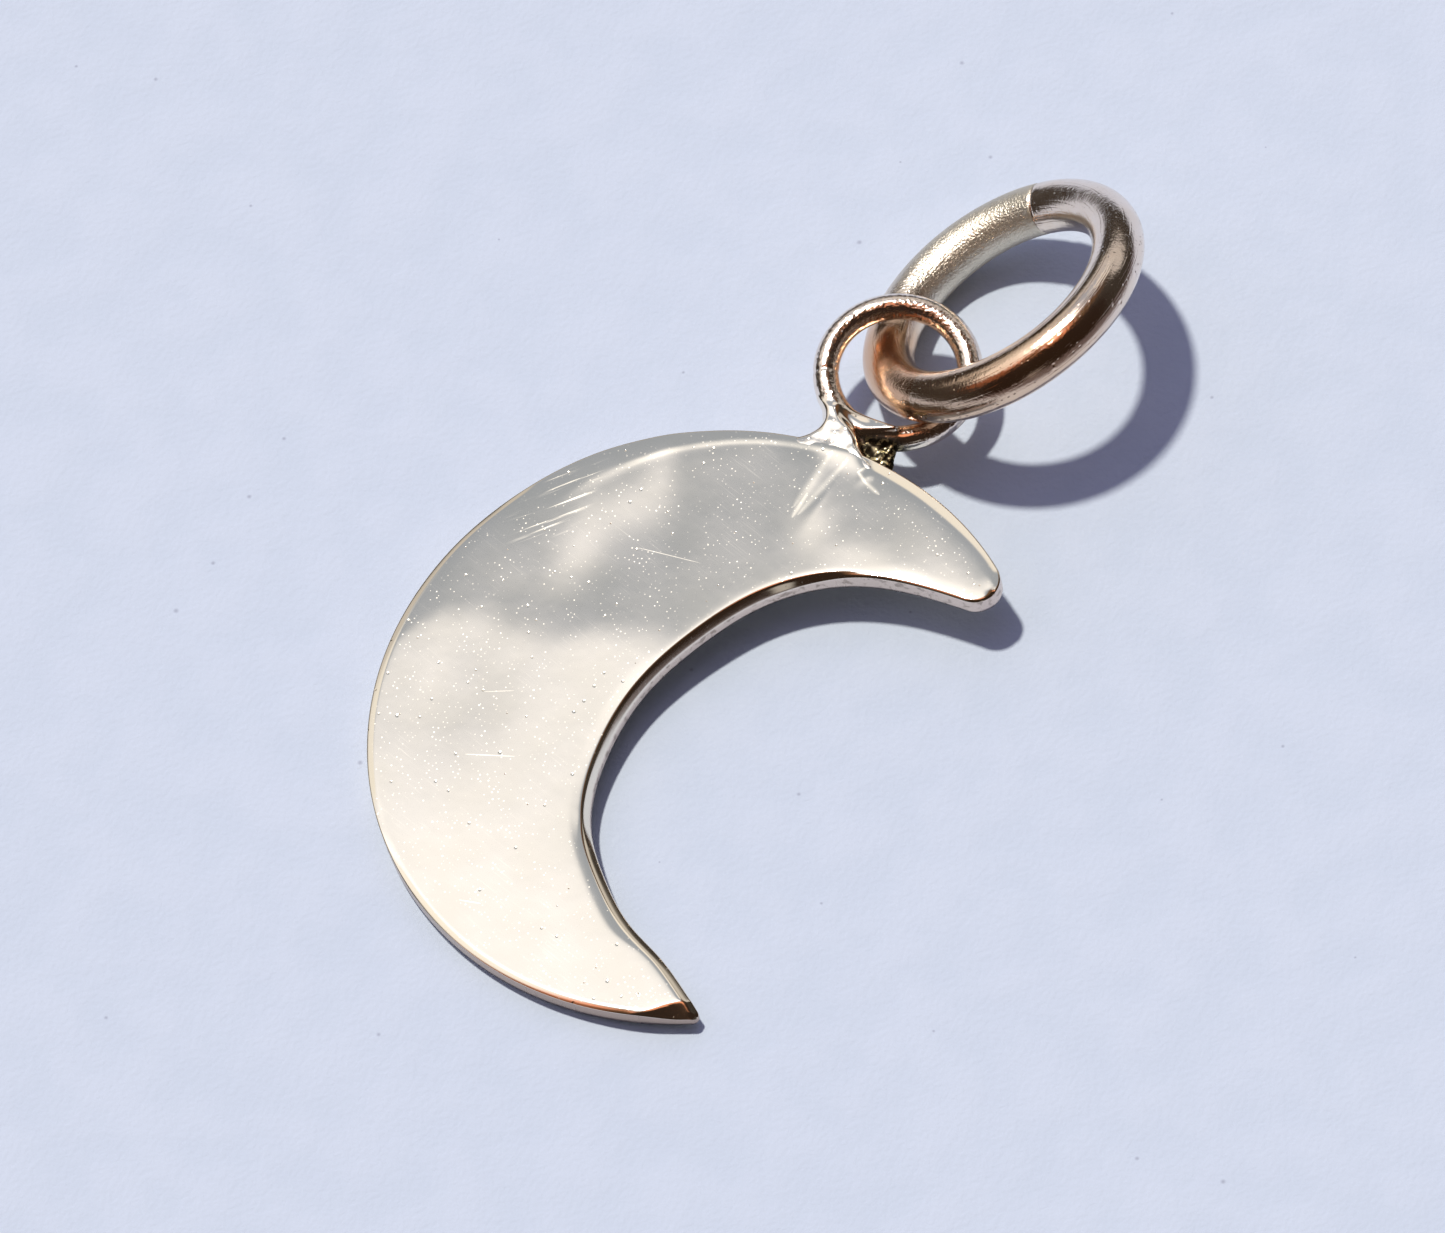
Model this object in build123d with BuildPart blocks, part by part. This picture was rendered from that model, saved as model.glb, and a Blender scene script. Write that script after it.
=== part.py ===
from build123d import *
from math import acos, cos, degrees, radians, sin
import os

# A small gold crescent moon pendant, lying face up as it was put down.
#
# The pendant is two pieces of metal.  The crescent is cut from flat sheet, and a
# small closed loop of wire is soldered to its back edge, so the plate, the solder
# and the loop are one solid.  A larger jump ring is threaded through that loop and
# has fallen over to one side.  Lengths are in millimetres and angles in degrees.
# +Z is up from the surface that it lies on, and +Y is the way that the pendant
# hangs: from the middle of the crescent towards its loop.

# Crescent sheet
crescent_diameter = 12.7
crescent_thickness = 0.5
edge_round = 0.12
bite_radius = 4.75
bite_offset = 3.35
mouth_bearing = -8.7
upper_tip_round = 0.48
lower_tip_round = 0.12

# Inner edge of the crescent, drawn about the middle of the bite: the share of the way
# round from the upper tip to the lower one, and the reach as a share of bite_radius
INNER_EDGE = [
    # share, reach
    (0.044, 1.006),
    (0.111, 0.992),
    (0.221, 1.017),
    (0.33, 1.006),
    (0.403, 0.985),
    (0.507, 0.99),
    (0.596, 1.0),
    (0.695, 1.013),
    (0.773, 0.988),
    (0.851, 0.978),
    (0.909, 0.972),
    (0.971, 1.032),
]

# The horns' sharp tips: their reach, and the angle by which the inner edge flares out to them
upper_tip_reach_share = 1.049
lower_tip_reach_share = 1.081
upper_flare_angle = 20.0
lower_flare_angle = 28.4
cut_overrun = 0.5

# Loop of wire soldered to the crescent's back edge
loop_diameter = 3.25
loop_wire = 0.5
loop_stand_off = 0.38
loop_rise_angle = 4.1
loop_twist_angle = 9.1

# Solder between the plate and the loop
solder_width = 1.9
solder_neck_width = 1.1
solder_mound = 0.14
solder_lap = 0.35

# Jump ring threaded through the loop
ring_diameter = 6.1
ring_wire = 1.0
thread_clearance = 0.05

# Where the jump ring's wire passes the loop's hole, as shares of the room that it has there
thread_across_share = 0.1
thread_back_share = -0.31

# How the pieces lie on the surface
crescent_tilt_angle = 4.0
crescent_high_bearing = 75.0
ring_high_bearing = -6.6


def level_direction(bearing):
    """The level direction at this bearing, counted from +X towards +Y."""
    return Vector(cos(radians(bearing)), sin(radians(bearing)), 0)


def tilted_plane(origin, high_side, tilt):
    """A plane that rises by tilt towards its high side, drawn with its Y axis as near +Y as it can."""
    uphill = level_direction(high_side)
    normal = Vector(0, 0, 1) * cos(radians(tilt)) - uphill * sin(radians(tilt))
    return Plane(origin=origin, x_dir=Vector(0, 1, 0).cross(normal), z_dir=normal)


# The crescent rests on the rounded lower edge of its rim
rim_radius = crescent_diameter / 2
rim_round = min(edge_round, 0.45 * crescent_thickness)
rest_height = (
    (rim_radius - rim_round) * sin(radians(crescent_tilt_angle))
    + (crescent_thickness - rim_round) * cos(radians(crescent_tilt_angle))
    + rim_round
)
face_plane = tilted_plane((0, 0, rest_height), crescent_high_bearing, crescent_tilt_angle)
mouth_plane = face_plane.rotated((0, 0, mouth_bearing))

# The loop stands just off the rim, halfway through the sheet
loop_radius = (loop_diameter - loop_wire) / 2
loop_distance = rim_radius + loop_stand_off + loop_diameter / 2
loop_place = Location((0, loop_distance, -crescent_thickness / 2), (loop_rise_angle, loop_twist_angle, 0))
loop_plane = Plane(face_plane.location * loop_place)

# The jump ring's wire passes through this point of the loop's hole
ring_radius = (ring_diameter - ring_wire) / 2
free_radius = loop_radius - (loop_wire + ring_wire) / 2
thread_point = loop_plane.from_local_coords(
    Vector(thread_across_share * free_radius, thread_back_share * free_radius, 0)
)


def ring_plane(tilt):
    """The jump ring's plane at this tilt: its low side is on the surface, its wire at thread_point."""
    uphill = level_direction(ring_high_bearing)
    across = level_direction(ring_high_bearing + 90)
    slope = uphill * cos(radians(tilt)) + Vector(0, 0, 1) * sin(radians(tilt))
    rise = ring_radius * sin(radians(tilt))
    height = rise + ring_wire / 2
    turn = acos(max(-1, min(1, (height - thread_point.Z) / rise)))
    centre = thread_point + slope * (ring_radius * cos(turn)) + across * (ring_radius * sin(turn))
    return Plane(origin=centre, x_dir=slope, z_dir=slope.cross(across))


def wire_gap(plane):
    """The gap between the jump ring's wire and the loop's wire."""
    steps = 180
    least = loop_diameter + ring_diameter
    for i in range(steps):
        angle = radians(360 * i / steps)
        point = plane.from_local_coords(Vector(ring_radius * cos(angle), ring_radius * sin(angle), 0))
        local = loop_plane.to_local_coords(point)
        off_circle = (local.X**2 + local.Y**2) ** 0.5 - loop_radius
        least = min(least, (off_circle**2 + local.Z**2) ** 0.5)
    return least - (loop_wire + ring_wire) / 2


def fallen_tilt():
    """The tilt to which the jump ring falls: thread_clearance is left to the loop's wire."""
    flat = 10
    upright = 80
    for _ in range(30):
        tilt = (flat + upright) / 2
        if wire_gap(ring_plane(tilt)) < thread_clearance:
            flat = tilt
        else:
            upright = tilt
    return upright


def bite_point(bearing, reach):
    """A point of the crescent's inner edge on the mouth plane."""
    return Vector(bite_offset, 0, 0) + level_direction(bearing) * (reach * bite_radius)


def tip_bearing(reach):
    """The bearing, about the middle of the bite, at which this reach meets the rim."""
    distance = reach * bite_radius
    across = rim_radius**2 - bite_offset**2 - distance**2
    return degrees(acos(across / (2 * bite_offset * distance)))


# Where the two horns end, and the way that the inner edge runs out past each
upper_bearing = tip_bearing(upper_tip_reach_share)
lower_bearing = 360 - tip_bearing(lower_tip_reach_share)
upper_way = level_direction(upper_bearing - 90 + upper_flare_angle)
lower_way = level_direction(lower_bearing + 90 - lower_flare_angle)
upper_end = bite_point(upper_bearing, upper_tip_reach_share) + upper_way * cut_overrun
lower_end = bite_point(lower_bearing, lower_tip_reach_share) + lower_way * cut_overrun


with BuildPart() as crescent:
    # The sheet: a disc with a nearly round bite, its two horn tips rounded off
    with BuildSketch(mouth_plane):
        Circle(rim_radius)
        with BuildLine():
            turn = lower_bearing - upper_bearing
            edge_points = [bite_point(upper_bearing + share * turn, reach) for share, reach in INNER_EDGE]
            inner_edge = Spline(upper_end, *edge_points, lower_end, tangents=[-upper_way, lower_way])
            upper_line = Line(inner_edge @ 0, inner_edge @ 0 + Vector(crescent_diameter, 0, 0))
            lower_line = Line(inner_edge @ 1, inner_edge @ 1 + Vector(crescent_diameter, 0, 0))
            Line(upper_line @ 1, lower_line @ 1)
        make_face(mode=Mode.SUBTRACT)
        fillet(vertices().sort_by(Axis.Y)[0], lower_tip_round)
        fillet(vertices().sort_by(Axis.Y)[-1], upper_tip_round)
    extrude(amount=-crescent_thickness)
    fillet(faces().filter_by(GeomType.PLANE).group_by(SortBy.AREA)[-1].edges(), rim_round)

    # The wire loop, turned about its own middle
    with BuildSketch(Plane(origin=loop_plane.origin, x_dir=loop_plane.x_dir, z_dir=loop_plane.y_dir)):
        with Locations((loop_radius, 0)):
            Circle(loop_wire / 2)
    revolve(axis=Axis(loop_plane.origin, loop_plane.z_dir))

    # The solder: it laps onto the plate, mounds over its face and runs out into the loop's wire
    solder_height = crescent_thickness + solder_mound
    solder_plane = Plane(
        face_plane.location
        * Location((0, rim_radius - solder_lap, (solder_mound - crescent_thickness) / 2), (-90, 0, 0))
    )
    neck_plane = Plane(
        face_plane.location * Location((0, loop_distance - loop_radius, -crescent_thickness / 2), (-90, 0, 0))
    )
    with BuildSketch(solder_plane):
        RectangleRounded(solder_width, solder_height, 0.4 * solder_height)
    with BuildSketch(neck_plane):
        RectangleRounded(solder_neck_width, 0.8 * loop_wire, 0.3 * loop_wire)
    loft()

with BuildPart() as jump_ring:
    # A plain closed ring of round wire
    ring_tilt = fallen_tilt()
    ring_place = ring_plane(ring_tilt)
    with BuildSketch(Plane(origin=ring_place.origin, x_dir=ring_place.x_dir, z_dir=ring_place.y_dir)):
        with Locations((ring_radius, 0)):
            Circle(ring_wire / 2)
    revolve(axis=Axis(ring_place.origin, ring_place.z_dir))

# The origin is on the surface, under the middle of the whole pendant
bounds = Compound([crescent.part, jump_ring.part]).bounding_box()
to_origin = Vector(-bounds.center().X, -bounds.center().Y, -bounds.min.Z)
crescent.part.position = to_origin
jump_ring.part.position = to_origin

os.makedirs("parts", exist_ok=True)
crescent.part.label = "crescent"
export_step(crescent.part, "parts/crescent.step")
jump_ring.part.label = "jump_ring"
export_step(jump_ring.part, "parts/jump_ring.step")

print(f"jump ring tilt {ring_tilt:.2f} degrees, gap to the loop {wire_gap(ring_place):.3f} mm")
print(f"overall {bounds.size.X:.3f} x {bounds.size.Y:.3f} x {bounds.size.Z:.3f} mm")
print("middle of the jump ring", ring_place.origin + to_origin, "axis", ring_place.z_dir)
print("middle of the crescent's disc", face_plane.origin + to_origin)
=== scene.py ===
# %% [markdown]
# # A small gold crescent moon, lying on paper
#
# The pendant is a crescent sawn from gold sheet, with a loop of wire soldered to its back
# edge and a larger jump ring threaded through the loop.  Its sizes and its place are those of
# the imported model.  This script gives it the surfaces that a worn, hand finished piece has:
# rolled edges, a slightly wavy face, runs of solder, scratches and pits.

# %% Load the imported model
from math import acos, atan2, cos, degrees, pi, radians, sin

import bmesh
import bpy
import numpy as np
from mathutils import Matrix, Vector


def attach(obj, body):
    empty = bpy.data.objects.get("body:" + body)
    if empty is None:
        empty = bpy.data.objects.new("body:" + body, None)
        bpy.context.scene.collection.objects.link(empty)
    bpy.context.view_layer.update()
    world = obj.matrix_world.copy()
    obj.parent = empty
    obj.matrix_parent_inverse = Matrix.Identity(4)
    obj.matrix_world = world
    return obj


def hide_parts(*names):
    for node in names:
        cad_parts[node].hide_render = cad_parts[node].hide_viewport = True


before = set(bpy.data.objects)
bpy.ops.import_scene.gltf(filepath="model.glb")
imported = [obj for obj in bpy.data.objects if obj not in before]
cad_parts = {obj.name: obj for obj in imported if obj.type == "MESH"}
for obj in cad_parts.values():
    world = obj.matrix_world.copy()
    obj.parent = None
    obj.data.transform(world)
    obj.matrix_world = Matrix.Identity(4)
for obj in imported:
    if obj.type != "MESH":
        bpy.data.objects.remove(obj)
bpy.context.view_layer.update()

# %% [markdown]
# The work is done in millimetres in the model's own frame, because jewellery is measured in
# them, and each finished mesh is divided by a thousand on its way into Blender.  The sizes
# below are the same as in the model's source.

scene = bpy.context.scene
MM = 0.001
RIM = 6.35
SHEET = 0.5
SHEET_ROUND = 0.12
FACE_TILT, FACE_HIGH_SIDE = 4.0, 75.0
MOUTH_BEARING = -8.7
BITE = 4.75
BITE_OFFSET = 3.35
face_middle = np.array([1.16859, -3.4974, 0.933657])


# %% Directions
def level_way(bearing):
    """The level direction at this bearing, counted from +X towards +Y."""
    return np.array([cos(radians(bearing)), sin(radians(bearing)), 0.0])


def unit(v):
    """The same direction with a length of one."""
    return v / np.linalg.norm(v, axis=-1, keepdims=True)


def tilted_axes(high_side, tilt):
    """Across, along and out of a plane that rises by tilt towards its high side."""
    out = np.array([0, 0, cos(radians(tilt))]) - level_way(high_side) * sin(radians(tilt))
    across = unit(np.cross([0.0, 1.0, 0.0], out))
    return np.array([across, np.cross(out, across), out])


def turned(axes, angle):
    """The same axes after a turn about the third one."""
    c, s = cos(radians(angle)), sin(radians(angle))
    return np.array([axes[0] * c + axes[1] * s, axes[1] * c - axes[0] * s, axes[2]])


def to_world(places, middle, axes):
    """Places given along a piece's own axes, in the model's frame."""
    return middle + places @ axes


face_axes = tilted_axes(FACE_HIGH_SIDE, FACE_TILT)
mouth_axes = turned(face_axes, MOUTH_BEARING)
print("the face looks towards", np.round(face_axes[2], 3))

# %% [markdown]
# A camera is placed by the angles that a photographer would note down: how far round the
# pendant it stands, how high it looks down from, and how it is rolled.  A long lens far away
# leaves hardly any perspective, as in a close-up that is taken from a little way off.

# %% Camera
LOOK_ROUND = 36.8864
LOOK_DOWN = 56.3503
ROLL = 11.2034
FAR = 320.0
SENSOR = 36.0
PIXELS_PER_MM = 52.9694
picture = np.array([1445.0, 1233.0])
aim_pixel = np.array([703.8865, 745.954])
looked_at = face_middle * [1, 1, 0]

a, e, r = radians(LOOK_ROUND), radians(LOOK_DOWN), radians(ROLL)
view_way = np.array([-sin(a) * cos(e), cos(a) * cos(e), -sin(e)])
side_way = np.array([cos(a), sin(a), 0.0])
lift_way = np.cross(side_way, view_way)
right_way = cos(r) * side_way - sin(r) * lift_way
up_way = sin(r) * side_way + cos(r) * lift_way
focal = PIXELS_PER_MM * FAR
eye = looked_at - view_way * FAR
off_right, off_down = (picture / 2 - aim_pixel) / focal
to_middle = unit(view_way + off_right * right_way - off_down * up_way)
side_axis = unit(np.cross(to_middle, up_way))

camera_data = bpy.data.cameras.new("camera")
camera_data.sensor_width = SENSOR
camera_data.lens = focal * SENSOR / picture[0]
camera_data.clip_start = 0.01
camera_data.clip_end = 10.0
camera = bpy.data.objects.new("camera", camera_data)
camera.matrix_world = Matrix.Translation(Vector(eye * MM)) @ Matrix(
    np.array([side_axis, np.cross(side_axis, to_middle), -to_middle]).T.tolist()
).to_4x4()
scene.collection.objects.link(camera)
scene.camera = camera
print("lens", round(camera_data.lens, 1), "mm, eye at", np.round(eye, 1))

# %% [markdown]
# A mesh can be built from modifiers, sculpted, or written down point by point.  A piece this
# plain but this exact is easiest to write as rows of points, so one helper turns rows into a
# closed, smooth-shaded mesh that rides on the pendant.


# %% Mesh helpers
def add_piece(name, points, faces, replaced):
    """A smooth mesh of these points, in millimetres, that rides on the pendant."""
    mesh = bpy.data.meshes.new(name)
    mesh.from_pydata((points * MM).tolist(), [], faces.tolist())
    work = bmesh.new()
    work.from_mesh(mesh)
    bmesh.ops.remove_doubles(work, verts=work.verts, dist=1e-7)
    bmesh.ops.recalc_face_normals(work, faces=work.faces)
    work.to_mesh(mesh)
    work.free()
    mesh.shade_smooth()
    piece = bpy.data.objects.new(name, mesh)
    scene.collection.objects.link(piece)
    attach(piece, "root")
    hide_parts(replaced)
    print(name, len(mesh.vertices), "points,", len(mesh.polygons), "faces")
    return piece


def strip_faces(rows, columns, closed_rows=False):
    """Four-cornered faces between neighbouring rows of a grid whose columns close round."""
    i = np.arange(rows if closed_rows else rows - 1)[:, None]
    j = np.arange(columns)[None, :]
    i2, j2 = (i + 1) % rows, (j + 1) % columns
    corners = np.stack([i * columns + j, i * columns + j2, i2 * columns + j2, i2 * columns + j], -1)
    return corners.reshape(-1, 4)


# %% [markdown]
# The outline comes first: the rim is a circle, and the inner edge is a hand sawn curve that
# is nearly a circle too.  It is drawn as a smooth curve through a few points, and each horn's
# tip is rounded by the small circle that just touches both edges.

# %% Inner edge as it is sawn
INNER_EDGE = [
    # share of the way from the upper tip to the lower one, reach as a share of the bite
    (0.044, 1.006), (0.111, 0.992), (0.221, 1.017), (0.33, 1.006), (0.403, 0.985), (0.507, 0.99),
    (0.596, 1.0), (0.695, 1.013), (0.773, 0.988), (0.851, 0.978), (0.909, 0.972), (0.971, 1.032),
]
UPPER_REACH, UPPER_FLARE = 1.049, 20.0
LOWER_REACH, LOWER_FLARE = 1.081, 28.4
CUT_OVERRUN = 0.5


def bite_point(bearing, reach):
    """A place about the middle of the bite."""
    return np.array([BITE_OFFSET, 0.0]) + level_way(bearing)[:2] * reach * BITE


def tip_bearing(reach):
    """The bearing, about the middle of the bite, at which this reach meets the rim."""
    far = reach * BITE
    return degrees(acos((RIM**2 - BITE_OFFSET**2 - far**2) / (2 * BITE_OFFSET * far)))


def smooth_curve(points, first_way, last_way, step):
    """Points along the smooth curve that passes through these and leaves each end the given way."""
    p = np.array(points)
    h = np.linalg.norm(np.diff(p, axis=0), axis=1)
    n = len(p)
    system, sides = np.eye(n), np.zeros((n, 2))
    sides[0], sides[-1] = first_way, last_way
    for i in range(1, n - 1):
        system[i, i - 1 : i + 2] = h[i], 2 * (h[i - 1] + h[i]), h[i - 1]
        sides[i] = 3 * (h[i] / h[i - 1] * (p[i] - p[i - 1]) + h[i - 1] / h[i] * (p[i + 1] - p[i]))
    ways = np.linalg.solve(system, sides)
    runs = []
    for i in range(n - 1):
        t = np.linspace(0, 1, max(2, int(h[i] / step)), endpoint=False)[:, None]
        runs.append(
            (1 + 2 * t) * (1 - t) ** 2 * p[i] + t * (1 - t) ** 2 * h[i] * ways[i]
            + t * t * (3 - 2 * t) * p[i + 1] + t * t * (t - 1) * h[i] * ways[i + 1]
        )
    return np.vstack(runs + [p[-1:]])


upper, lower = tip_bearing(UPPER_REACH), 360 - tip_bearing(LOWER_REACH)
upper_run = level_way(upper - 90 + UPPER_FLARE)[:2]
lower_run = level_way(lower + 90 - LOWER_FLARE)[:2]
upper_end = bite_point(upper, UPPER_REACH) + upper_run * CUT_OVERRUN
lower_end = bite_point(lower, LOWER_REACH) + lower_run * CUT_OVERRUN
between = [bite_point(upper + share * (lower - upper), reach) for share, reach in INNER_EDGE]
sawn = smooth_curve([upper_end] + between + [lower_end], -upper_run, lower_run, 0.004)
along = unit(np.gradient(sawn, axis=0))
into_metal = np.column_stack([along[:, 1], -along[:, 0]])
into_metal *= np.sign((into_metal * (sawn - [BITE_OFFSET, 0])).sum(1))[:, None]

# %% Rounded tips of the horns
UPPER_TIP, LOWER_TIP = 0.48, 0.12
HALF_TIP = 30


def tip_circle(radius, upper_half):
    """Where the tip's small circle sits, and which point of the sawn edge it touches."""
    middle = sawn + into_metal * radius
    miss = np.abs(np.linalg.norm(middle, axis=1) - (RIM - radius))
    miss[(sawn[:, 1] > 0) != upper_half] = np.inf
    i = int(miss.argmin())
    return middle[i], i


def turn_to(middle, start, end, radius):
    """Points on a small circle from one direction round to another."""
    a0, a1 = atan2(*start[::-1]), atan2(*end[::-1])
    if a1 < a0:
        a1 += 2 * pi
    t = np.linspace(a0, a1, 2 * HALF_TIP)
    return middle + radius * np.column_stack([np.cos(t), np.sin(t)])


upper_middle, upper_touch = tip_circle(UPPER_TIP, True)
lower_middle, lower_touch = tip_circle(LOWER_TIP, False)
upper_cap = turn_to(upper_middle, -into_metal[upper_touch], upper_middle, UPPER_TIP)
lower_cap = turn_to(lower_middle, lower_middle, -into_metal[lower_touch], LOWER_TIP)
print("horn tips round", np.round(upper_middle, 2), "and", np.round(lower_middle, 2))


# %% Both halves of the outline
def spread(line, shares):
    """Points of a line at these shares of its length."""
    length = np.r_[0, np.cumsum(np.linalg.norm(np.diff(line, axis=0), axis=1))]
    return np.column_stack([np.interp(shares * length[-1], length, line[:, k]) for k in (0, 1)])


rim_start, rim_end = atan2(*upper_middle[::-1]), atan2(*lower_middle[::-1]) + 2 * pi
t = np.linspace(rim_start, rim_end, 4000)
rim_line = RIM * np.column_stack([np.cos(t), np.sin(t)])
inner_line = sawn[upper_touch : lower_touch + 1]
outer_half = np.vstack([upper_cap[HALF_TIP:], rim_line[1:-1], lower_cap[: HALF_TIP + 1]])
inner_half = np.vstack([upper_cap[HALF_TIP::-1], inner_line[1:-1], lower_cap[: HALF_TIP - 1 : -1]])

# %% [markdown]
# The face is a height over that outline.  Its rim is rolled over by polishing, the inner edge
# has a wider arris and, along the lower horn, a filed bevel.  A bump in the material could
# fake these, but the outline would not follow, so they are falls in height near the edges.

# %% Points of the face and their distances from both edges
ROWS = 800
ACROSS = 92
STEPS_IN = [0.018, 0.018, 0.02, 0.02, 0.02, 0.02, 0.02, 0.025, 0.03, 0.04, 0.05]


def line_gap(points, line):
    """The distance of each point from a line of many short runs."""
    a, b = line[:-1], line[1:]
    d = b - a
    gaps = []
    for some in np.array_split(points, max(1, len(points) // 2000)):
        w = some[:, None] - a[None]
        t = np.clip((w * d).sum(2) / (d * d).sum(1), 0, 1)
        gaps.append(np.linalg.norm(w - t[..., None] * d, axis=2).min(1))
    return np.concatenate(gaps)


def right_hand(points):
    """The directions square to an edge line, to the right of the way that it runs."""
    along = unit(np.gradient(points, axis=0))
    return np.column_stack([along[:, 1], -along[:, 0]])


def cross_rows(near, count):
    """Rows of points from the rim to the inner edge, square to each edge where they are near it."""
    width = np.linalg.norm(inner_points - outer_points, axis=1)
    fit = np.minimum(1, 0.42 * width / near[-1])[:, None, None]
    from_rim = outer_points[:, None] + fit * near[None, :, None] * rim_inward[:, None]
    from_inner = inner_points[:, None] + fit * near[None, :, None] * inner_inward[:, None]
    t = np.linspace(0, 1, count - 2 * len(near) + 2)[None, 1:-1, None]
    middle = from_rim[:, -1:] * (1 - t) + from_inner[:, -1:] * t
    return np.concatenate([from_rim, middle, from_inner[:, ::-1]], axis=1)


shares = np.linspace(0, 1, ROWS)
outer_points = spread(outer_half, shares)
inner_points = spread(inner_half, shares)
rim_inward, inner_inward = -right_hand(outer_points), right_hand(inner_points)
near = 0.16 * (1 - np.cos(np.radians(np.linspace(0, 90, 14))))
near = np.r_[near, near[-1] + np.cumsum(STEPS_IN)]
face_points = cross_rows(near, ACROSS).reshape(-1, 2)
u, v = face_points.T.copy()
outer_line = spread(outer_half, np.linspace(0, 1, 1500))
inner_edge_line = spread(inner_half, np.linspace(0, 1, 1200))
rim_gap = line_gap(face_points, outer_line)
inner_gap = line_gap(face_points, inner_edge_line)
rim_gap.reshape(ROWS, ACROSS)[:, 0] = 0
inner_gap.reshape(ROWS, ACROSS)[:, -1] = 0
print("the face has", len(u), "points")

# %% [markdown]
# The polished face is not quite flat.  A sheet that was hammered level and polished by hand
# leans this way and that by a fraction of a degree, and each lean moves the edge of the glow
# that the face mirrors.  That makes the soft cream and grey zones.  They can be drawn as a
# polisher sees them: first where the face should look bright and where grey, then how far it
# has to lean for that, and last the height, the running sum of the leans.


# %% Soft masks
def ease(x, low, high):
    """0 below low, 1 above high, and smooth between them."""
    t = np.clip((x - low) / (high - low), 0, 1)
    return t * t * (3 - 2 * t)


def hump(u, v, middle, size, turn=0.0):
    """A soft round patch with its centre, half sizes and turn."""
    c, s = cos(radians(turn)), sin(radians(turn))
    a = (u - middle[0]) * c + (v - middle[1]) * s
    b = (v - middle[1]) * c - (u - middle[0]) * s
    return np.exp(-((a / size[0]) ** 2 + (b / size[1]) ** 2))


def humps(u, v, table):
    """The sum of the soft patches in a table, each times its own amount."""
    return sum(amount * hump(u, v, middle, size, turn) for amount, middle, size, turn in table)


# %% Bright and grey zones of the face
LOW_ZONES = [
    # brightness, middle, half sizes, turn
    (-0.1, (-3.7, -2.2), (0.7, 1.1), 0),
    (-0.06, (-4.6, -1.2), (0.5, 0.4), 20),
    (0.1, (-5.0, -1.6), (0.35, 1.0), 15),
    (0.08, (-3.9, -0.6), (0.5, 0.3), -10),
    (-0.12, (-5.1, -3.4), (0.5, 0.6), 40),
]
HIGH_ZONES = [
    (0.62, (-4.15, 2.1), (0.48, 1.15), 4),
    (0.5, (-3.65, 3.85), (0.45, 0.95), 20),
    (0.35, (-3.85, 3.05), (0.42, 0.5), 0),
    (0.16, (-4.75, 2.3), (0.35, 0.8), 0),
    (0.12, (-5.0, 0.6), (0.6, 0.45), 0),
    (-0.08, (-5.7, 1.6), (0.35, 1.3), 0),
    (-0.06, (-2.8, 2.2), (0.4, 1.6), -12),
    (0.1, (-2.9, 4.9), (0.8, 0.4), 40),
    (0.55, (-0.9, 6.15), (0.4, 0.3), 0),
    (0.3, (-0.62, 6.12), (0.3, 0.14), -25),
    (0.6, (-0.6, 4.6), (0.38, 0.55), 6),
    (0.6, (0.5, 4.35), (0.85, 0.42), 20),
    (0.3, (-2.5, 5.45), (0.5, 0.2), 28),
    (0.15, (-3.9, 4.5), (0.4, 0.25), 45),
    (0.34, (2.2, 5.05), (0.9, 0.38), -8),
]


def brightness_wanted(u, v):
    """0 where the face mirrors the grey room, 1 where it mirrors the glow round the light."""
    border = np.interp(
        u,
        [-6.2, -5.6, -5.0, -4.0, -3.3, -2.5, -1.9, -1.4],
        [-1.6, -0.5, -0.25, 0.05, 0.3, 0.7, 0.85, 1.0],
    )
    border = border + 0.1 * np.sin(2.3 * u + 0.6) + 0.05 * np.sin(6.1 * u)
    low = 0.64 + 0.16 * ease(u, -3.8, -2.4) + 0.24 * ease(-v, 2.2, 5.4) + humps(u, v, LOW_ZONES)
    high = 0.04 + 0.08 * ease(u, -3.2, -1.6) * (1 - ease(v, 3.2, 4.4)) + humps(u, v, HIGH_ZONES)
    high += 0.14 * ease(u, -0.2, 1.0)
    bearing = np.degrees(np.arctan2(v, u))
    rim_glow = np.interp(bearing, [95, 115, 130, 145, 160], [6.2, 6.13, 5.96, 5.77, 5.6])
    along_rim = ease(bearing, 96, 104) * (1 - ease(bearing, 140, 160))
    high += 0.75 * along_rim * np.exp(-(((np.hypot(u, v) - rim_glow) / 0.08) ** 2))
    share = ease(border - v, -0.4 - 0.2 * ease(u, -3.0, -1.6), 0.6)
    return high + (low - high) * share


# %% [markdown]
# How far a place has to lean follows from the mirror law.  For each place the script works out
# which direction the flat face would mirror to the eye and how far that is from the light.
# The face only leans along the one line over which a lean counts most, so the sum of the
# leans is a proper height.

# %% The line along which the face leans
GLOW_INNER, GLOW_OUTER = 12.4, 15.6
sun_way = unit(np.array([-0.328, 0.103, 1.0]))
eye_seen = (eye - face_middle) @ mouth_axes.T
sun_seen = mouth_axes @ sun_way


def light_gap(u, v, lean_u=0.0, lean_v=0.0):
    """The angle between the light and what a place mirrors, in degrees."""
    sight = unit(np.stack([u, v, 0 * u], -1) - eye_seen)
    out = unit(np.array([-lean_u, -lean_v, 1.0]))
    mirrored = sight - 2 * (sight @ out)[..., None] * out
    return np.degrees(np.arccos(mirrored @ sun_seen))


def lean_rate(lean_u, lean_v):
    """By how many degrees each degree of this small lean moves what the middle mirrors."""
    here = np.zeros(1)
    moved = light_gap(here, here, lean_u, lean_v) - light_gap(here, here)
    return float(moved[0]) / degrees(lean_u + lean_v)


rate = np.array([lean_rate(0.01, 0.0), lean_rate(0.0, 0.01)])
per_degree = np.linalg.norm(rate)
lean_way = -rate / per_degree
print("each degree of lean moves the mirrored place by", round(float(per_degree), 2), "degrees")

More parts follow.
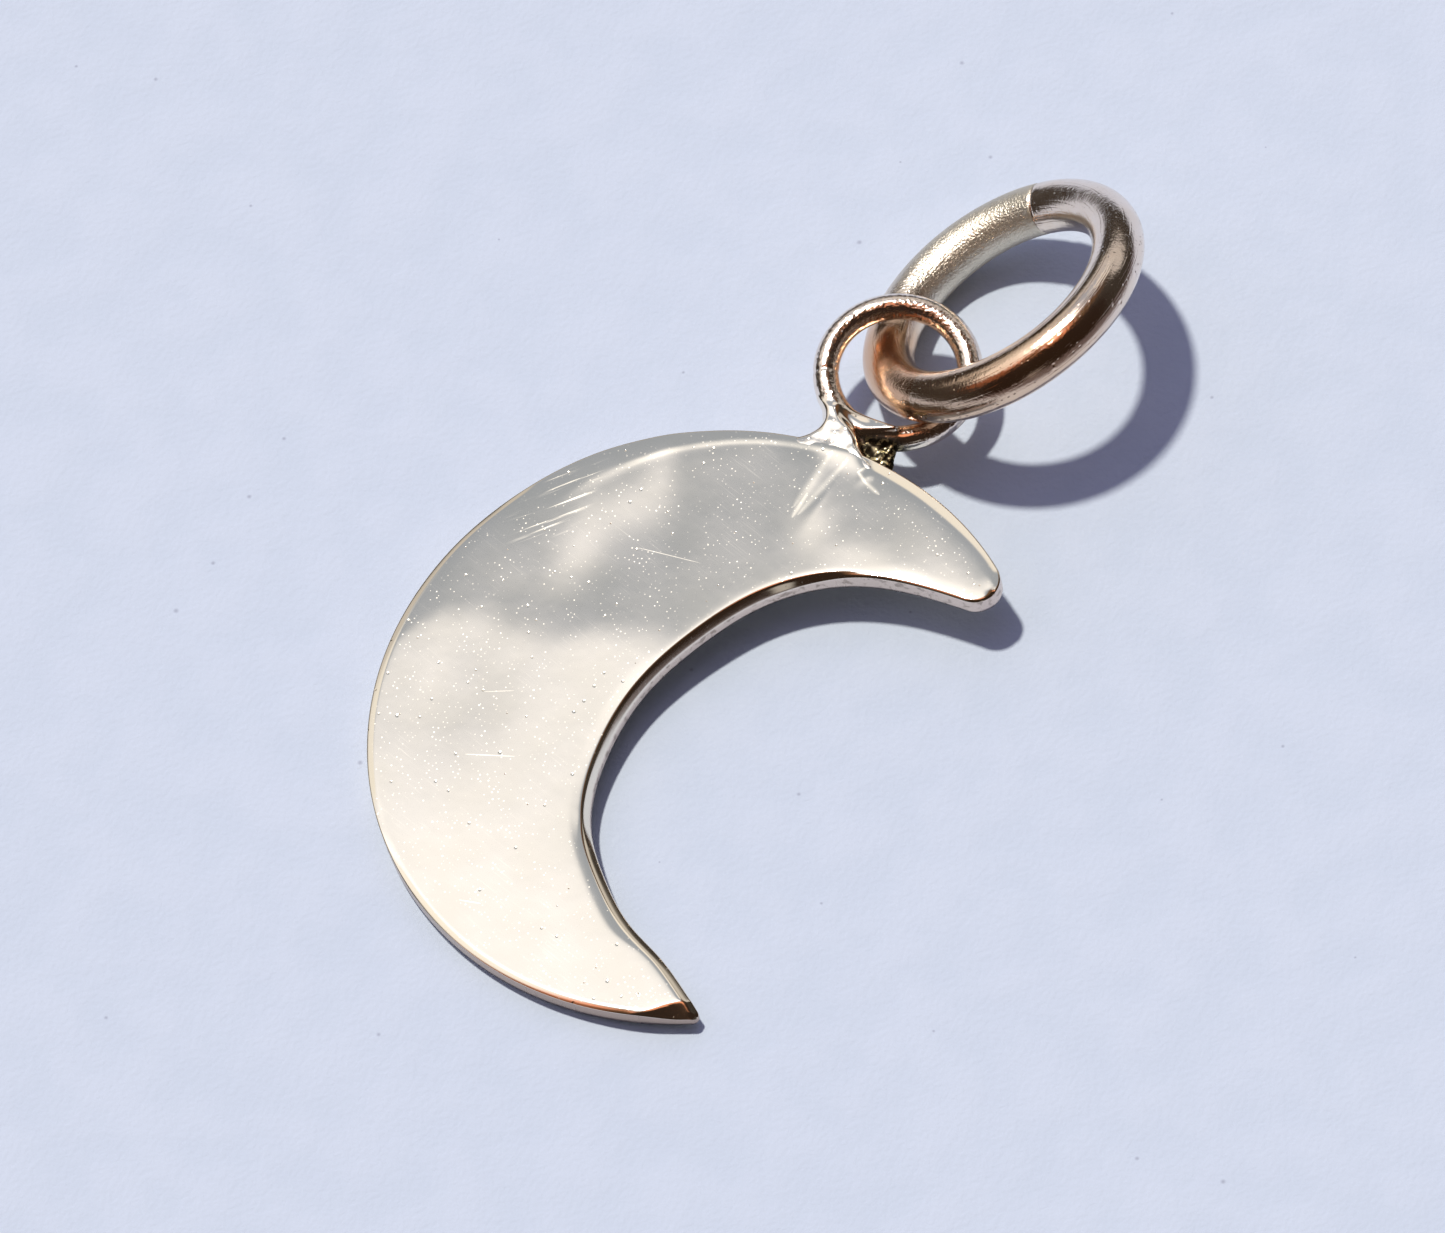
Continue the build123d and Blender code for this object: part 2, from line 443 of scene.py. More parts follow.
# %% Leans, and the height that they add up to
FINE = 0.02
SPAN = 7.0
line = np.arange(-SPAN, SPAN, FINE)
across_lean, along_lean = np.meshgrid(line, line, indexing="ij")
gu = along_lean * lean_way[0] + across_lean * lean_way[1]
gv = along_lean * lean_way[1] - across_lean * lean_way[0]
wanted_gap = GLOW_OUTER + (GLOW_INNER - GLOW_OUTER) * brightness_wanted(gu, gv)
lean = np.radians((light_gap(gu, gv) - wanted_gap) / per_degree)
hollows = np.cumsum(lean, axis=1) * FINE
hollows -= hollows[:, len(line) // 2 : len(line) // 2 + 1]


def hollow_height(u, v):
    """The height of the shallow hollows, read off between the points of their grid."""
    i = (u * lean_way[1] - v * lean_way[0] + SPAN) / FINE
    j = (u * lean_way[0] + v * lean_way[1] + SPAN) / FINE
    i = np.clip(i, 0, len(line) - 1.001)
    j = np.clip(j, 0, len(line) - 1.001)
    a, b = i.astype(int), j.astype(int)
    s, t = i - a, j - b
    top = hollows[a, b] * (1 - t) + hollows[a, b + 1] * t
    return top * (1 - s) + (hollows[a + 1, b] * (1 - t) + hollows[a + 1, b + 1] * t) * s


print("from crest to hollow there are", round(float(np.ptp(hollow_height(u, v))), 3), "mm")

# %% [markdown]
# Near the edges the face falls away.  A rolled edge drops like a quarter of an ellipse, a
# filed one drops in a straight line from where the file first touched, and a turned over one
# leans more and more.


# %% Rolled, filed and turned over edges
def rolled(gap, width, depth):
    """How far a rolled edge drops at this distance in from the edge."""
    return depth * (1 - np.sqrt(np.clip(1 - np.clip(1 - gap / width, 0, 1) ** 2, 0, 1)))


def soft_filed(gap, width, slope, soft=0.0006):
    """How far a filed edge drops at this slope in degrees, with its first touch polished away."""
    inside = width - gap
    return 0.5 * (inside + np.sqrt(inside**2 + soft)) * np.tan(np.radians(slope))


def turned_over(gap, width, slope):
    """How far an edge drops that leans more and more, up to this slope in degrees."""
    return 0.5 * np.clip(width - gap, 0, None) ** 2 / width * np.tan(np.radians(slope))


# %% How the face falls to both edges
def rim_fall(u, v, gap):
    """How far the face drops towards the rim."""
    bearing = np.degrees(np.arctan2(v, u)) % 360
    left = ease(bearing, 92, 108) * (1 - ease(bearing, 178, 205))
    side = ease(bearing, 150, 165) * (1 - ease(bearing, 215, 235))
    right = ease(bearing, 52, 60) * (1 - ease(bearing, 90, 99))
    low = ease(bearing, 232, 250)
    facet = ease(bearing, 293, 303) * 0.31
    fall = 0.016 * np.exp(-gap / 0.16) * left
    fall += soft_filed(gap, 0.13 + 0.09 * ease(bearing, 64, 80), 9.0, 0.008) * right
    fall += soft_filed(gap, facet, 27.0, 0.0006 * ease(facet, 0.0, 0.1))
    fall += soft_filed(gap, 0.12, 14.0) * side
    fall += turned_over(gap, 0.15, 29.0) * low * (1 - ease(bearing, 293, 299))
    return fall + rolled(gap, 0.03, 0.02) * (1 - low)


def inner_fall(u, v, gap):
    """How far the face drops towards the inner edge."""
    horn = ease(u, -0.6, 1.2) * (v > 0)
    low = ease(-v, -0.9, 0.6)
    steep = ease(-v, 2.75, 3.35)
    narrow = 1 - 0.75 * ease(u, 1.0, 2.8) * (v < 0)
    bevel_slope = np.interp(u, [0, 0.67, 1.4], [36.0, 32.8, 29.3])
    fall = rolled(gap, 0.03 + 0.04 * horn, 0.02 + 0.03 * horn)
    fall += soft_filed(gap, 0.12, 60.0, 0.0004) * (1 - horn) * (1 - steep)
    fall += soft_filed(gap, 0.15, bevel_slope, 0.0015) * steep
    fall += soft_filed(gap, 0.37 * narrow, 1.4 + 0.9 * steep) * low
    fall += 0.02 * np.exp(-gap / 0.1) * ease(u, 0.6, 1.4) * (v > 0)
    return fall


# %% Height of the face
FOOT_RIPPLES = [
    # height, middle, half sizes, turn
    (-0.0035, (-0.97, 5.2), (0.13, 0.55), 5),
    (0.0015, (-1.16, 5.3), (0.06, 0.5), 5),
    (0.0015, (-0.78, 5.3), (0.06, 0.5), 5),
    (0.012, (-1.2, 6.25), (0.6, 0.3), 0),
    (0.003, (-0.3, 6.0), (0.09, 0.22), -20),
]
top = hollow_height(u, v) - rim_fall(u, v, rim_gap) - inner_fall(u, v, inner_gap)
top += humps(u, v, FOOT_RIPPLES)
print("face height from", round(top.min(), 3), "to", round(top.max(), 3), "mm")

# %% [markdown]
# The side wall runs down from the rolled edge to the underside, whose edge is rounded in the
# same way.  Top, wall and underside share their points, so the crescent is one closed skin.

# %% Crescent
under_near = SHEET_ROUND * (1 - np.cos(np.radians([0, 30, 50, 70, 90])))
under_points = cross_rows(under_near, 16).reshape(-1, 2)
under_gap = np.minimum(line_gap(under_points, outer_line), line_gap(under_points, inner_edge_line))
under = -SHEET + rolled(under_gap, SHEET_ROUND, SHEET_ROUND)

top_grid = np.column_stack([face_points, top]).reshape(ROWS, ACROSS, 3)
under_grid = np.column_stack([under_points, under]).reshape(ROWS, -1, 3)
t = np.linspace(0, 1, 7)[1:-1, None, None]
inner_wall, rim_wall = (
    (top_grid[None, :, edge] * (1 - t) + under_grid[None, :, edge] * t).transpose(1, 0, 2)
    for edge in (-1, 0)
)
rows = np.concatenate([top_grid, inner_wall, under_grid[:, ::-1], rim_wall[:, ::-1]], axis=1)
faces = strip_faces(ROWS, rows.shape[1])[:, ::-1]
plate_points = to_world(rows.reshape(-1, 3), face_middle, mouth_axes)
plate = add_piece("crescent_plate", plate_points, faces, "crescent")

# %% [markdown]
# The jump ring is wire closed into a ring.  Its ends meet in a fine joint where they never
# line up quite exactly, and handling has pressed it a little out of round.

# %% Jump ring
RING_RADIUS, RING_WIRE = 2.55, 0.5
RING_JOINT = 19.0
ring_middle = np.array([2.49781, 6.78171, 1.84606])
ring_axis = unit(np.array([-0.524367, 0.060671, 0.849328]))
ring_side = unit(np.cross(ring_axis, [0.0, 0.0, 1.0]))
ring_axes = np.array([ring_side, np.cross(ring_axis, ring_side), ring_axis])


def wire_ring(radius, wire, around, about, shape):
    """A closed ring of round wire; shape gives the wire's thickness and middle line at each angle."""
    angle = np.linspace(0, 2 * pi, around, endpoint=False)
    turn = np.linspace(0, 2 * pi, about, endpoint=False)
    thick, out, lift = shape(angle)
    reach = (radius + out)[:, None] + (wire * thick)[:, None] * np.cos(turn)
    rise = lift[:, None] + (wire * thick)[:, None] * np.sin(turn)
    grid = np.stack([reach * np.cos(angle)[:, None], reach * np.sin(angle)[:, None], rise], -1)
    return grid.reshape(-1, 3), strip_faces(around, about, True)


def ring_shape(angle):
    """The joint's step and groove, and the little that the ring is out of round."""
    past = (angle - radians(RING_JOINT) + pi) % (2 * pi) - pi
    joint = np.exp(-((past / 0.01) ** 2))
    thick = 1 - 0.03 * joint + 0.004 * np.sin(5 * angle + 1)
    out = 0.006 * np.sin(3 * angle) + 0.022 * np.where(past < 0, np.exp(past / 0.5), 0)
    lift = 0.006 * np.sin(2 * angle + 0.6) - 0.018 * np.where(past < 0, np.exp(past / 0.4), 0)
    return thick, out, lift


points, faces = wire_ring(RING_RADIUS, RING_WIRE, 640, 64, ring_shape)
ring_points = to_world(points, ring_middle, ring_axes)
ring = add_piece("jump_ring_wire", ring_points, faces, "jump_ring")

# %% [markdown]
# Solder flows, so the loop's foot has no edges to model: loop, solder and rim melt into each
# other.  A good way to make such a form is a field that says how far each place is from the
# metal.  Fields can be blended softly, and a skin is then drawn where the field is zero.


# %% Skin over a field
def skin(field, corner, step):
    """Points and faces of the surface where a field on a grid is zero."""
    inside = field < 0
    cells = np.array(field.shape) - 1
    total, count = np.zeros((*cells, 3)), np.zeros(cells)
    crossings = []
    for axis in range(3):
        low = tuple(slice(0, -1) if k == axis else slice(None) for k in range(3))
        high = tuple(slice(1, None) if k == axis else slice(None) for k in range(3))
        at = np.argwhere(inside[low] != inside[high])
        a, b = field[low][tuple(at.T)], field[high][tuple(at.T)]
        place = at.astype(float)
        place[:, axis] += a / (a - b)
        one, two = [k for k in range(3) if k != axis]
        around = []
        for s, t in ((1, 1), (0, 1), (0, 0), (1, 0)):
            cell = at.copy()
            cell[:, one] -= s
            cell[:, two] -= t
            around.append(cell)
            fits = ((cell >= 0) & (cell < cells)).all(1)
            np.add.at(total, tuple(cell[fits].T), place[fits])
            np.add.at(count, tuple(cell[fits].T), 1)
        crossings.append((around, a < b if axis != 1 else a > b))
    used = count > 0
    number = np.cumsum(used).reshape(used.shape) - 1
    points = corner + step * total[used] / count[used][:, None]
    faces = []
    for around, outward in crossings:
        fits = np.all([((c >= 0) & (c < cells)).all(1) for c in around], axis=0)
        quad = np.stack([number[tuple(c[fits].T)] for c in around], 1)
        quad[~outward[fits]] = quad[~outward[fits]][:, ::-1]
        faces.append(quad)
    return points, np.vstack(faces)


def melt(a, b, reach):
    """Two fields joined with a soft fillet between them."""
    h = np.clip(0.5 + 0.5 * (b - a) / reach, 0, 1)
    return b + (a - b) * h - reach * h * (1 - h)


def rounded(side, level, corner):
    """A field of a slab from the distances to its side and to its top or bottom, with a round edge."""
    outside = np.hypot(np.clip(side + corner, 0, None), np.clip(level + corner, 0, None))
    return outside + np.minimum(np.maximum(side, level) + corner, 0) - corner


# %% Loop of wire
LOOP_RADIUS, LOOP_WIRE = 1.375, 0.25
LOOP_STAND_OFF = 0.38
LOOP_TWIST, LOOP_RISE = 9.1, 4.1
STEP = 0.025
GRID = [(-2.0, 2.0), (5.4, 10.3), (-1.0, 0.5)]
x, y, z = np.meshgrid(*[np.arange(low, high, STEP) for low, high in GRID], indexing="ij")
loop_middle = np.array([0.0, RIM + LOOP_STAND_OFF + LOOP_RADIUS + LOOP_WIRE, -SHEET / 2])
twist, rise = Matrix.Rotation(radians(LOOP_TWIST), 3, "Y"), Matrix.Rotation(radians(LOOP_RISE), 3, "X")
loop_axes = np.array((rise @ twist).transposed())
lx, ly, lz = np.moveaxis((np.stack([x, y, z], -1) - loop_middle) @ loop_axes.T, -1, 0)
loop_field = np.hypot(np.hypot(lx, ly) - LOOP_RADIUS, lz) - LOOP_WIRE
past_nick = np.degrees(np.arctan2(ly, lx)) % 360 - 205
loop_field += 0.014 * np.exp(-((past_nick / 1.6) ** 2))

# %% Edge of the sheet at the loop's foot
flat_x, flat_y = x[:, :, :1], y[:, :, :1]
c, s = cos(radians(MOUTH_BEARING)), sin(radians(MOUTH_BEARING))
face_lift = hollow_height(flat_x * c + flat_y * s, flat_y * c - flat_x * s) - 0.02
sheet_rim = RIM - 0.03 + 0.07 * hump(x, y, (-1.1, 6.2), (0.35, 0.6))
sheet_level = np.maximum(z - face_lift, -z - SHEET + 0.012)
sheet_edge = rounded(np.hypot(x, y) - sheet_rim, sheet_level, 0.15)

# %% [markdown]
# The solder has three parts.  A neck runs up from the face to the wire, a flat fill closes the
# corner between them, and a low crumbly pocket lies on the right, where the solder ran short.

# %% Solder
rising = y - 5.9 + 0.1 * x
run_up = 0.025 * (rising + np.sqrt(rising**2 + 0.02)) + 0.014 * hump(x, y, (-0.2, 6.8), (0.3, 0.25))
ripples = np.sin(9 * x + 3 * y) * np.sin(8 * y - 5 * x + 1)
ripples += 0.6 * np.sin(17 * x - 9 * y + 2) * np.sin(13 * x + 16 * y)
neck_left = -0.78 - 1.44 * (y - 6.73) ** 2 - x
neck_right = (x - 0.6 + 1.32 * (y - 6.2) + 0.05 * np.sin(11 * y)) / 1.66
neck_side = np.maximum(np.maximum(neck_left, neck_right), y - 7.15)
neck_top = face_lift + run_up + 0.005 * ripples
neck = rounded(neck_side, np.maximum(z - neck_top, -z - 0.42), 0.12)

fill_side = np.maximum(np.abs(x) - 0.58, np.maximum(y - 7.2, 6.86 + 0.45 * np.clip(x, 0, 1) - y))
fill_level = np.maximum(z + 0.07 - 0.032 * x + 0.026 * (y - 7.0), -z - 0.47)
inner_fill = rounded(fill_side, fill_level, 0.06)

pocket_side = np.maximum(np.abs(x - 0.05 + 0.3 * (y - 6.4)) - 0.8, np.maximum(y - 7.0, 6.0 - y))
pocket = rounded(pocket_side, np.maximum(z + 0.25 + 0.1 * x, -z - 0.48), 0.15)
crumb = np.sin(19 * x + 4 * y) * np.sin(15 * y - 7 * z + 1)
crumb += 0.6 * np.sin(31 * x - 12 * y + 2) * np.sin(27 * z + 1)
pocket += 0.016 * crumb

# %% Skin of the loop and its solder
metal = loop_field
for part, reach in ((inner_fill, 0.1), (neck, 0.12), (pocket, 0.08), (sheet_edge, 0.03)):
    metal = melt(metal, part, reach)
# The skin stops a little way into the plate, which has a skin of its own
foot_end = np.maximum(5.75 - y, np.abs(x) - 1.55 - 5 * np.clip(y - 6.9, 0, 1))
points, faces = skin(np.maximum(metal, foot_end), [low for low, high in GRID], STEP)
loop_points = to_world(points, face_middle, face_axes)
loop = add_piece("soldered_loop", loop_points, faces, "crescent")

# %% [markdown]
# Polished gold is a mirror with a warm tint.  What makes it look real is what it reflects and
# how its polish is spoiled.  The marks are the same kinds on every piece: hairlines from the
# polishing cloth, single deeper scratches, small pits, and a shine that is a little uneven.
# Each kind is a node group, built once and placed in each material with its own sizes in
# millimetres.


# %% Node helpers
def feed(tree, value, socket):
    """Links a socket to another one, or sets it to a plain value."""
    if isinstance(value, bpy.types.NodeSocket):
        tree.links.new(value, socket)
    else:
        socket.default_value = value


def reckon(tree, operation, *values, clamp=False):
    """One step of arithmetic."""
    node = tree.nodes.new("ShaderNodeMath")
    node.operation, node.use_clamp = operation, clamp
    for value, socket in zip(values, node.inputs):
        feed(tree, value, socket)
    return node.outputs[0]


def times(tree, first, *others):
    """The product of two or more values."""
    for other in others:
        first = reckon(tree, "MULTIPLY", first, other)
    return first


def reckon_vector(tree, operation, *values):
    """One step of arithmetic with places or directions."""
    node = tree.nodes.new("ShaderNodeVectorMath")
    node.operation = operation
    for value, socket in zip(values, node.inputs):
        feed(tree, value, socket)
    return node.outputs["Value" if operation in ("DOT_PRODUCT", "LENGTH") else "Vector"]


def split(tree, vector):
    """The X, Y and Z of a place."""
    node = tree.nodes.new("ShaderNodeSeparateXYZ")
    feed(tree, vector, node.inputs[0])
    return node.outputs


def ramp(tree, value, low, high, to_low=0.0, to_high=1.0, kind="SMOOTHSTEP"):
    """Maps a value from one range to another, smoothly or in a straight line."""
    node = tree.nodes.new("ShaderNodeMapRange")
    node.interpolation_type = kind
    names = ("Value", "From Min", "From Max", "To Min", "To Max")
    for name, given in zip(names, (value, low, high, to_low, to_high)):
        feed(tree, given, node.inputs[name])
    return node.outputs["Result"]


def mix_colour(tree, share, first, second):
    """The first colour where share is 0, the second where it is 1."""
    node = tree.nodes.new("ShaderNodeMix")
    node.data_type = "RGBA"
    feed(tree, share, node.inputs["Factor"])
    for value, socket in ((first, node.inputs[6]), (second, node.inputs[7])):
        feed(tree, (*value, 1.0) if isinstance(value, tuple) else value, socket)
    return node.outputs[2]


# %% Node groups
def new_group(name, numbers, output, places=("Place",)):
    """An empty shader node group with these places and numbers, and one output."""
    group = bpy.data.node_groups.new(name, "ShaderNodeTree")
    for label in places:
        group.interface.new_socket(label, in_out="INPUT", socket_type="NodeSocketVector")
    for label, value in numbers.items():
        socket = group.interface.new_socket(label, in_out="INPUT", socket_type="NodeSocketFloat")
        socket.default_value = value
    group.interface.new_socket(output, in_out="OUTPUT", socket_type="NodeSocketFloat")
    return group, group.nodes.new("NodeGroupInput").outputs, group.nodes.new("NodeGroupOutput").inputs[0]


def place_group(tree, group, **values):
    """Puts a group into a material with its own values, and gives its output."""
    node = tree.nodes.new("ShaderNodeGroup")
    node.node_tree = group
    for name, value in values.items():
        feed(tree, value, node.inputs[name])
    return node.outputs[0]


# %% [markdown]
# Hairlines are noise that is stretched far along one direction, so only thin streaks are left.
# One scratch is the distance to a short straight run.  Pits are scattered round dents, each
# with its own size.  Clouds are plain soft noise.

# %% Hairlines
hairlines, given, lines = new_group(
    "hairlines", {"Turn": 0.0, "Spacing": 0.05, "Length": 1.5, "Share": 0.3}, "Lines"
)
turned_place = hairlines.nodes.new("ShaderNodeVectorRotate")
turned_place.rotation_type = "Z_AXIS"
feed(hairlines, given["Place"], turned_place.inputs["Vector"])
feed(hairlines, times(hairlines, given["Turn"], -1.0), turned_place.inputs["Angle"])
sizes = hairlines.nodes.new("ShaderNodeCombineXYZ")
for name, socket in (("Length", "X"), ("Spacing", "Y"), ("Length", "Z")):
    feed(hairlines, reckon(hairlines, "DIVIDE", 1.0, given[name]), sizes.inputs[socket])
noise = hairlines.nodes.new("ShaderNodeTexNoise")
stretched = reckon_vector(hairlines, "MULTIPLY", turned_place.outputs[0], sizes.outputs[0])
feed(hairlines, stretched, noise.inputs["Vector"])
noise.inputs["Scale"].default_value = 1.0
noise.inputs["Detail"].default_value = 2.0
least = reckon(hairlines, "SUBTRACT", 0.72, times(hairlines, given["Share"], 0.4))
most = reckon(hairlines, "ADD", least, 0.15)
feed(hairlines, ramp(hairlines, noise.outputs["Fac"], least, most), lines)

# %% One scratch
scratch, given, mark = new_group("scratch", {"Width": 0.03}, "Mark", places=("Place", "Start", "End"))
flat_place = reckon_vector(scratch, "MULTIPLY", given["Place"], (1.0, 1.0, 0.0))
run = reckon_vector(scratch, "SUBTRACT", given["End"], given["Start"])
since = reckon_vector(scratch, "SUBTRACT", flat_place, given["Start"])
share = reckon(
    scratch, "DIVIDE",
    reckon_vector(scratch, "DOT_PRODUCT", since, run),
    reckon_vector(scratch, "DOT_PRODUCT", run, run), clamp=True,
)
scaled = scratch.nodes.new("ShaderNodeVectorMath")
scaled.operation = "SCALE"
feed(scratch, run, scaled.inputs[0])
feed(scratch, share, scaled.inputs["Scale"])
off = reckon_vector(scratch, "LENGTH", reckon_vector(scratch, "SUBTRACT", since, scaled.outputs["Vector"]))
taper = times(scratch, share, reckon(scratch, "SUBTRACT", 1.0, share), 4.0)
half = times(scratch, given["Width"], 0.5, reckon(scratch, "SQRT", taper))
feed(scratch, ramp(scratch, off, 0.0, reckon(scratch, "ADD", half, 0.001), 1.0, 0.0), mark)

# %% Pits
pits, given, dent = new_group("pits", {"Spacing": 0.3, "Size": 0.03, "Share": 0.4}, "Dent")
spots = pits.nodes.new("ShaderNodeTexVoronoi")
spots.voronoi_dimensions = "2D"
per_spacing = reckon(pits, "DIVIDE", 1.0, given["Spacing"])
feed(pits, given["Place"], spots.inputs["Vector"])
feed(pits, per_spacing, spots.inputs["Scale"])
draws = pits.nodes.new("ShaderNodeSeparateColor")
feed(pits, spots.outputs["Color"], draws.inputs[0])
there = reckon(pits, "LESS_THAN", draws.outputs[0], given["Share"])
own_size = reckon(pits, "ADD", times(pits, draws.outputs[1], 0.8), 0.3)
reach = times(pits, given["Size"], own_size, per_spacing)
feed(pits, times(pits, ramp(pits, spots.outputs["Distance"], 0.0, reach, 1.0, 0.0), there), dent)

# %% Clouds
clouds, given, cloud = new_group("clouds", {"Size": 1.0}, "Cloud")
noise = clouds.nodes.new("ShaderNodeTexNoise")
feed(clouds, given["Place"], noise.inputs["Vector"])
feed(clouds, reckon(clouds, "DIVIDE", 1.0, given["Size"]), noise.inputs["Scale"])
noise.inputs["Detail"].default_value = 3.0
feed(clouds, ramp(clouds, noise.outputs["Fac"], 0.3, 0.7), cloud)
print("node groups:", ", ".join(sorted(group.name for group in bpy.data.node_groups)))

# %% [markdown]
# Each finish starts from the same few nodes: a place in millimetres counted along the piece's
# own plane, a bump that turns the heights of its marks into leans, and a roughness that the
# marks add to.


# %% A finish and its place in millimetres
def new_finish(name, middle, axes, metallic=1.0):
    """A material, its nodes and shader, and the place on the piece in millimetres."""
    material = bpy.data.materials.new(name)
    material.use_nodes = True
    tree = material.node_tree
    shader = tree.nodes["Principled BSDF"]
    shader.inputs["Metallic"].default_value = metallic
    where = tree.nodes.new("ShaderNodeTexCoord")
    mapping = tree.nodes.new("ShaderNodeMapping")
    feed(tree, where.outputs["Object"], mapping.inputs["Vector"])
    mapping.inputs["Scale"].default_value = (1 / MM, 1 / MM, 1 / MM)
    mapping.inputs["Rotation"].default_value = Matrix(axes.tolist()).to_euler()
    mapping.inputs["Location"].default_value = tuple(-axes @ middle)
    return material, tree, shader, mapping.outputs[0]


def total(tree, marks):
    """The sum of masks, each times its own amount."""
    height = 0.0
    for mask, amount in marks:
        height = reckon(tree, "ADD", times(tree, mask, amount), height)
    return height


def bump(tree, shader, marks):
    """Turns marks, each with its height in millimetres, into leans of the surface."""
    node = tree.nodes.new("ShaderNodeBump")
    node.inputs["Strength"].default_value = 1.0
    node.inputs["Distance"].default_value = MM
    feed(tree, total(tree, marks), node.inputs["Height"])
    feed(tree, node.outputs[0], shader.inputs["Normal"])


def dull(tree, shader, least, marks):
    """Makes the whole metal this rough, and rougher where there are marks."""
    feed(tree, reckon(tree, "ADD", total(tree, marks), least), shader.inputs["Roughness"])


def far_from(tree, place, middle, stretch=(1.0, 1.0, 1.0)):
    """How far a place is from a middle, with each direction stretched by its own share."""
    off = reckon_vector(tree, "SUBTRACT", place, middle)
    return reckon_vector(tree, "LENGTH", reckon_vector(tree, "MULTIPLY", off, stretch))


# %% [markdown]
# The plate's marks are not spread evenly.  A few long scratches are drawn one by one, a sheaf
# of streaks lies near the left rim, and the specks gather in crowds.

# %% Marks on the polished plate
SCRATCHES = [
    # start, end, width, strength
    ((-3.2, 2.45), (-2.0, 2.78), 0.03, 1.0),
    ((-3.9, -1.62), (-3.4, -1.3), 0.02, 1.0),
    ((-3.4, -2.9), (-2.55, -2.45), 0.03, 1.0),
    ((-1.65, -5.5), (-1.25, -5.35), 0.03, 1.0),
    ((-1.22, 6.1), (-1.15, 4.7), 0.3, 0.55),
    ((-0.85, 6.1), (-0.98, 4.6), 0.26, 0.6),
    ((-1.1, 5.1), (-1.04, 4.5), 0.2, 0.7),
    ((-0.4, 6.24), (-0.54, 5.94), 0.12, 0.8),
    ((-0.54, 5.97), (-0.22, 5.82), 0.13, 0.9),
    ((-0.3, 5.85), (0.12, 5.76), 0.16, 0.8),
]
plate_gold, tree, shader, place = new_finish("pale_gold_polished", face_middle, mouth_axes)
cloud = place_group(tree, clouds, Place=place, Size=1.4)
crowd = place_group(tree, clouds, Place=place, Size=0.5)
fine = place_group(tree, hairlines, Place=place, Turn=radians(118), Spacing=0.03, Length=1.1, Share=0.4)
crossed = place_group(tree, hairlines, Place=place, Turn=radians(171), Spacing=0.025, Length=0.9, Share=0.35)
streaks = place_group(tree, hairlines, Place=place, Turn=radians(54), Spacing=0.07, Length=1.5, Share=0.42)
off_streaks = far_from(tree, place, (-5.25, 2.6, 0.0), (1.0, 0.55, 0.0))
streaks = times(tree, streaks, ramp(tree, off_streaks, 0.85, 0.35))
specks = place_group(tree, pits, Place=place, Spacing=0.1, Size=0.026, Share=0.36)
specks = times(tree, specks, reckon(tree, "ADD", times(tree, crowd, 0.85), 0.15))
large_pits = place_group(tree, pits, Place=place, Spacing=0.36, Size=0.04, Share=0.2)
single = 0.0
for start, end, width, strength in SCRATCHES:
    mark = place_group(tree, scratch, Place=place, Start=(*start, 0), End=(*end, 0), Width=width)
    single = reckon(tree, "MAXIMUM", single, times(tree, mark, strength))
print(len(SCRATCHES), "single scratches on the plate")
bump(tree, shader, [(times(tree, fine, cloud), -0.00008), (large_pits, -0.004), (cloud, 0.0006)])

# %% Shine of the plate
GLEAM_MIDDLE, GLEAM_RADIUS = (-0.087, 1.022, 0.0), 5.168
across, up, _ = split(tree, place)
off_gleam = far_from(tree, place, GLEAM_MIDDLE, (1.0, 1.0, 0.0))
off_gleam = reckon(tree, "ABSOLUTE", reckon(tree, "SUBTRACT", off_gleam, GLEAM_RADIUS))
gleam = times(
    tree, ramp(tree, off_gleam, 0.11, 0.02), ramp(tree, up, 3.0, 4.2), ramp(tree, across, -0.9, -1.6)
)
flare = ramp(tree, far_from(tree, place, (1.7, 4.45, 0.0)), 0.55, 0.15)
facing = tree.nodes.new("ShaderNodeTexCoord").outputs["Normal"]
out_share = reckon(tree, "ABSOLUTE", reckon_vector(tree, "DOT_PRODUCT", facing, tuple(face_axes[2])))
wall = ramp(tree, out_share, 0.5, 0.25)
edge = ramp(tree, out_share, 0.992, 0.96)
dull(tree, shader, 0.072, [
    (cloud, 0.02), (single, 0.1), (streaks, 0.13), (times(tree, crossed, cloud), 0.03),
    (specks, 0.17), (gleam, 0.06), (flare, 0.04), (wall, 0.14), (edge, 0.03),
])

# %% Colour of the plate, and painted shade on its sawn wall
worn = mix_colour(tree, cloud, (0.94, 0.862, 0.712), (0.935, 0.86, 0.73))
# The sawn wall is painted darker than the face, and darker still towards the lower horn: painted shade for
# the shadowed paper that the wall mirrors.
wall_shade_and_stain = mix_colour(tree, ramp(tree, up, -4.2, -5.2), (0.74, 0.62, 0.55), (0.47, 0.37, 0.32))
stain = place_group(tree, clouds, Place=place, Size=0.16)
inside_rim = ramp(tree, reckon_vector(tree, "LENGTH", place), RIM - 0.02, RIM - 0.15)
stain = times(tree, ramp(tree, stain, 0.6, 1.0, 0.0, 0.7), inside_rim)
# Cloudy stains on the inner wall go on top of that painted shade.
wall_shade_and_stain = mix_colour(tree, stain, wall_shade_and_stain, (0.3, 0.24, 0.2))
feed(tree, mix_colour(tree, wall, worn, wall_shade_and_stain), shader.inputs["Base Color"])
plate.data.materials.append(plate_gold)
